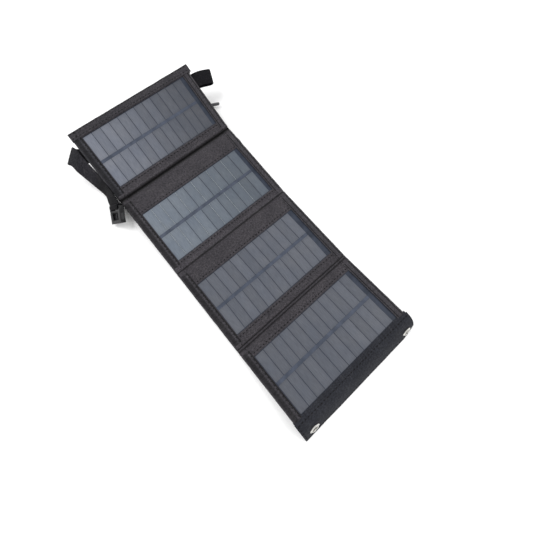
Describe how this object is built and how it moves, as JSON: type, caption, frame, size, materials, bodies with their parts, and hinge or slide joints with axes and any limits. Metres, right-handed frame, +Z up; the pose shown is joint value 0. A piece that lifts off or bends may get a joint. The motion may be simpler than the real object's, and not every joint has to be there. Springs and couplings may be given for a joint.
{
  "type": "fold-out solar panel",
  "caption": "Fold-out fabric solar charger: hinged panels of cell strips in stitched windows, grommet flap, zipped back pocket, strap with buckle.",
  "frame": {"origin": "centre of the bounding box's base, on the ground under the middle panels", "axes": "+Z up, +Y along the row of panels towards the top panel with the pocket, +X to the right seen from the flap end"},
  "size_m": [0.2606, 0.5062, 0.0574],
  "materials": {
    "front_fabric": "dark charcoal woven polyester, matt",
    "back_fabric": "dark charcoal woven polyester, matt",
    "binding": "folded woven tape, matt",
    "flap_fabric": "near-black woven polyester, slight sheen",
    "cells": "blue-grey thin-film strips under a satin film",
    "laminate": "dark blue-grey laminate border, satin",
    "board": "semi-rigid sheet",
    "webbing": "ribbed black webbing",
    "case_plastic": "moulded black plastic",
    "circuit": "green circuit board",
    "port_metal": "plated steel",
    "zip_tape": "woven zip tape",
    "eyelet_metal": "nickel-plated, bright",
    "slider_metal": "plated zinc slider",
    "pull_grip": "moulded grip, satin",
    "buckle_plastic": "moulded acetal, satin"
  },
  "bodies": {
    "panel_3": {"front_cover_3": "front_fabric", "cell_string_3": "cells", "laminate_3": "laminate", "stiffener_3": "board", "back_cover_3": "back_fabric", "binding_left_3": "binding", "binding_right_3": "binding"},
    "panel_2": {"front_cover_2": "front_fabric", "cell_string_2": "cells", "laminate_2": "laminate", "stiffener_2": "board", "back_cover_2": "back_fabric", "binding_left_2": "binding", "binding_right_2": "binding"},
    "panel_1": {"front_cover_1": "front_fabric", "cell_string_1": "cells", "laminate_1": "laminate", "stiffener_1": "board", "back_cover_1": "back_fabric", "binding_left_1": "binding", "binding_right_1": "binding", "top_hem": "binding", "loop_right": "webbing", "controller_case": "case_plastic", "controller_lid": "case_plastic", "controller_board": "circuit", "usb_port_1": "port_metal", "usb_port_2": "port_metal", "pocket_base": "back_fabric", "pocket_gusset_left": "back_fabric", "pocket_gusset_top": "back_fabric", "pocket_gusset_low": "back_fabric", "pocket_gusset_right_upper": "back_fabric", "pocket_gusset_right_lower": "back_fabric", "zip_tape_upper": "zip_tape", "zip_tape_lower": "zip_tape", "zip_stop_low": "port_metal", "zip_stop_top": "port_metal", "strap_root": "webbing"},
    "panel_4": {"front_cover_4": "front_fabric", "cell_string_4": "cells", "laminate_4": "laminate", "stiffener_4": "board", "back_cover_4": "back_fabric", "binding_left_4": "binding", "binding_right_4": "binding"},
    "flap": {"flap_front": "flap_fabric", "flap_back": "flap_fabric", "grommet_left": "eyelet_metal", "grommet_right": "eyelet_metal", "grommet_washer_left": "eyelet_metal", "grommet_washer_right": "eyelet_metal"},
    "slider": {"zip_slider": "slider_metal"},
    "pull": {"zip_pull": "pull_grip"},
    "strap": {"strap_free": "webbing"},
    "buckle": {"buckle": "buckle_plastic"}
  },
  "joints": [
    {"name": "fold_2", "type": "hinge", "parent": "panel_3", "child": "panel_2", "pos_m": [-0.00071, 0.01001, -0.0002], "axis": [-1, 0, 0], "range_deg": [0, 185]},
    {"name": "fold_1", "type": "hinge", "parent": "panel_2", "child": "panel_1", "pos_m": [-0.00071, 0.14102, 0.01768], "axis": [1, 0, 0], "range_deg": [-14, 164.5]},
    {"name": "fold_3", "type": "hinge", "parent": "panel_3", "child": "panel_4", "pos_m": [-0.00071, -0.12134, 0.0055], "axis": [-1, 0, 0], "range_deg": [0, 172]},
    {"name": "flap_fold", "type": "hinge", "parent": "panel_4", "child": "flap", "pos_m": [-0.00071, -0.22612, 0.01565], "axis": [-1, 0, 0], "range_deg": [-60, 8]},
    {"name": "zip_slide", "type": "slide", "parent": "panel_1", "child": "slider", "axis": [0, 1, 0], "range_m": [-0.04, 0.0185]},
    {"name": "zip_pull_swing", "type": "hinge", "parent": "slider", "child": "pull", "pos_m": [0.08889, 0.2078, 0.007], "axis": [0, 0, 1], "range_deg": [-35, 95]},
    {"name": "strap_swing", "type": "hinge", "parent": "panel_1", "child": "strap", "pos_m": [-0.11311, 0.2176, 0.035], "axis": [-0.7432, -0.455, -0.4904], "range_deg": [0, 60]},
    {"name": "buckle_swing", "type": "hinge", "parent": "strap", "child": "buckle", "pos_m": [-0.10971, 0.1395, 0.0196], "axis": [-0.5095, 0.5645, -0.6494], "range_deg": [0, 35]}
  ],
  "couplings": [
    {"joint": "fold_3", "follows": "fold_2", "ratio": 0.92973}
  ]
}
